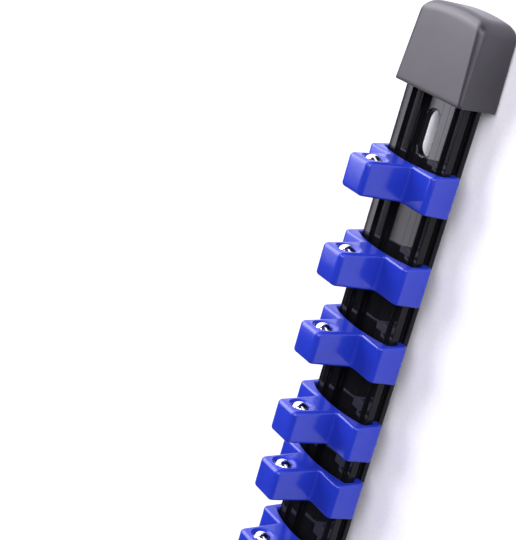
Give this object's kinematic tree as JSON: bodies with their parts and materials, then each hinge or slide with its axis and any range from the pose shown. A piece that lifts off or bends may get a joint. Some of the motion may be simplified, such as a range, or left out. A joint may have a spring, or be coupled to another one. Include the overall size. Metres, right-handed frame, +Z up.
{
  "type": "socket rail",
  "caption": "Black extruded rail with end caps and screw slots, carrying sliding blue clips whose square posts hold sockets with sprung balls.",
  "frame": {"origin": "in the plane that the end caps stand on, under the middle of the rail", "axes": "+X along the rail towards the faces that hold the balls, +Y across it, +Z up"},
  "size_m": [0.424, 0.037, 0.0349],
  "materials": {
    "rail_black": "glossy black",
    "cap_charcoal": "soft matt charcoal",
    "clip_blue": "glossy royal blue moulding",
    "ball_chrome": "polished ball",
    "spring_steel": "drawn spring wire"
  },
  "bodies": {
    "rail": {"rail": "rail_black"},
    "end_cap_right": {"end_cap_right": "cap_charcoal"},
    "end_cap_left": {"end_cap_left": "cap_charcoal"},
    "clip_1": {"clip_1": "clip_blue", "ball_spring_1": "spring_steel"},
    "detent_ball_1": {"detent_ball_1": "ball_chrome"},
    "clip_2": {"clip_2": "clip_blue", "ball_spring_2": "spring_steel"},
    "detent_ball_2": {"detent_ball_2": "ball_chrome"},
    "clip_3": {"clip_3": "clip_blue", "ball_spring_3": "spring_steel"},
    "detent_ball_3": {"detent_ball_3": "ball_chrome"},
    "clip_4": {"clip_4": "clip_blue", "ball_spring_4": "spring_steel"},
    "detent_ball_4": {"detent_ball_4": "ball_chrome"},
    "clip_5": {"clip_5": "clip_blue", "ball_spring_5": "spring_steel"},
    "detent_ball_5": {"detent_ball_5": "ball_chrome"},
    "clip_6": {"clip_6": "clip_blue", "ball_spring_6": "spring_steel"},
    "detent_ball_6": {"detent_ball_6": "ball_chrome"},
    "clip_7": {"clip_7": "clip_blue", "ball_spring_7": "spring_steel"},
    "detent_ball_7": {"detent_ball_7": "ball_chrome"},
    "clip_8": {"clip_8": "clip_blue", "ball_spring_8": "spring_steel"},
    "detent_ball_8": {"detent_ball_8": "ball_chrome"},
    "clip_9": {"clip_9": "clip_blue", "ball_spring_9": "spring_steel"},
    "detent_ball_9": {"detent_ball_9": "ball_chrome"},
    "clip_10": {"clip_10": "clip_blue", "ball_spring_10": "spring_steel"},
    "detent_ball_10": {"detent_ball_10": "ball_chrome"},
    "clip_11": {"clip_11": "clip_blue", "ball_spring_11": "spring_steel"},
    "detent_ball_11": {"detent_ball_11": "ball_chrome"},
    "clip_12": {"clip_12": "clip_blue", "ball_spring_12": "spring_steel"},
    "detent_ball_12": {"detent_ball_12": "ball_chrome"}
  },
  "joints": [
    {"name": "cap_right_pull_off", "type": "slide", "parent": "rail", "child": "end_cap_right", "axis": [1, 0, 0], "range_m": [0, 0.024]},
    {"name": "cap_left_pull_off", "type": "slide", "parent": "rail", "child": "end_cap_left", "axis": [-1, 0, 0], "range_m": [0, 0.024]},
    {"name": "clip_1_slide", "type": "slide", "parent": "rail", "child": "clip_1", "axis": [1, 0, 0], "range_m": [-0.0166, 0.0217]},
    {"name": "ball_1_press", "type": "slide", "parent": "clip_1", "child": "detent_ball_1", "axis": [-1, 0, 0], "range_m": [0, 0.0014], "stiffness_N_per_m": 1500, "deforming": ["ball_spring_1"]},
    {"name": "clip_2_slide", "type": "slide", "parent": "rail", "child": "clip_2", "axis": [1, 0, 0], "range_m": [-0.0135, 0.0166]},
    {"name": "ball_2_press", "type": "slide", "parent": "clip_2", "child": "detent_ball_2", "axis": [-1, 0, 0], "range_m": [0, 0.0014], "stiffness_N_per_m": 1500, "deforming": ["ball_spring_2"]},
    {"name": "clip_3_slide", "type": "slide", "parent": "rail", "child": "clip_3", "axis": [1, 0, 0], "range_m": [-0.0149, 0.0135]},
    {"name": "ball_3_press", "type": "slide", "parent": "clip_3", "child": "detent_ball_3", "axis": [-1, 0, 0], "range_m": [0, 0.0014], "stiffness_N_per_m": 1500, "deforming": ["ball_spring_3"]},
    {"name": "clip_4_slide", "type": "slide", "parent": "rail", "child": "clip_4", "axis": [1, 0, 0], "range_m": [-0.0076, 0.0149]},
    {"name": "ball_4_press", "type": "slide", "parent": "clip_4", "child": "detent_ball_4", "axis": [-1, 0, 0], "range_m": [0, 0.0014], "stiffness_N_per_m": 1500, "deforming": ["ball_spring_4"]},
    {"name": "clip_5_slide", "type": "slide", "parent": "rail", "child": "clip_5", "axis": [1, 0, 0], "range_m": [-0.0143, 0.0076]},
    {"name": "ball_5_press", "type": "slide", "parent": "clip_5", "child": "detent_ball_5", "axis": [-1, 0, 0], "range_m": [0, 0.0014], "stiffness_N_per_m": 1500, "deforming": ["ball_spring_5"]},
    {"name": "clip_6_slide", "type": "slide", "parent": "rail", "child": "clip_6", "axis": [1, 0, 0], "range_m": [-0.0135, 0.0143]},
    {"name": "ball_6_press", "type": "slide", "parent": "clip_6", "child": "detent_ball_6", "axis": [-1, 0, 0], "range_m": [0, 0.0014], "stiffness_N_per_m": 1500, "deforming": ["ball_spring_6"]},
    {"name": "clip_7_slide", "type": "slide", "parent": "rail", "child": "clip_7", "axis": [1, 0, 0], "range_m": [-0.0138, 0.0135]},
    {"name": "ball_7_press", "type": "slide", "parent": "clip_7", "child": "detent_ball_7", "axis": [-1, 0, 0], "range_m": [0, 0.0014], "stiffness_N_per_m": 1500, "deforming": ["ball_spring_7"]},
    {"name": "clip_8_slide", "type": "slide", "parent": "rail", "child": "clip_8", "axis": [1, 0, 0], "range_m": [-0.0116, 0.0138]},
    {"name": "ball_8_press", "type": "slide", "parent": "clip_8", "child": "detent_ball_8", "axis": [-1, 0, 0], "range_m": [0, 0.0014], "stiffness_N_per_m": 1500, "deforming": ["ball_spring_8"]},
    {"name": "clip_9_slide", "type": "slide", "parent": "rail", "child": "clip_9", "axis": [1, 0, 0], "range_m": [-0.0131, 0.0116]},
    {"name": "ball_9_press", "type": "slide", "parent": "clip_9", "child": "detent_ball_9", "axis": [-1, 0, 0], "range_m": [0, 0.0014], "stiffness_N_per_m": 1500, "deforming": ["ball_spring_9"]},
    {"name": "clip_10_slide", "type": "slide", "parent": "rail", "child": "clip_10", "axis": [1, 0, 0], "range_m": [-0.0125, 0.0131]},
    {"name": "ball_10_press", "type": "slide", "parent": "clip_10", "child": "detent_ball_10", "axis": [-1, 0, 0], "range_m": [0, 0.0014], "stiffness_N_per_m": 1500, "deforming": ["ball_spring_10"]},
    {"name": "clip_11_slide", "type": "slide", "parent": "rail", "child": "clip_11", "axis": [1, 0, 0], "range_m": [-0.013, 0.0125]},
    {"name": "ball_11_press", "type": "slide", "parent": "clip_11", "child": "detent_ball_11", "axis": [-1, 0, 0], "range_m": [0, 0.0014], "stiffness_N_per_m": 1500, "deforming": ["ball_spring_11"]},
    {"name": "clip_12_slide", "type": "slide", "parent": "rail", "child": "clip_12", "axis": [1, 0, 0], "range_m": [-0.02, 0.013]},
    {"name": "ball_12_press", "type": "slide", "parent": "clip_12", "child": "detent_ball_12", "axis": [-1, 0, 0], "range_m": [0, 0.0014], "stiffness_N_per_m": 1500, "deforming": ["ball_spring_12"]}
  ]
}
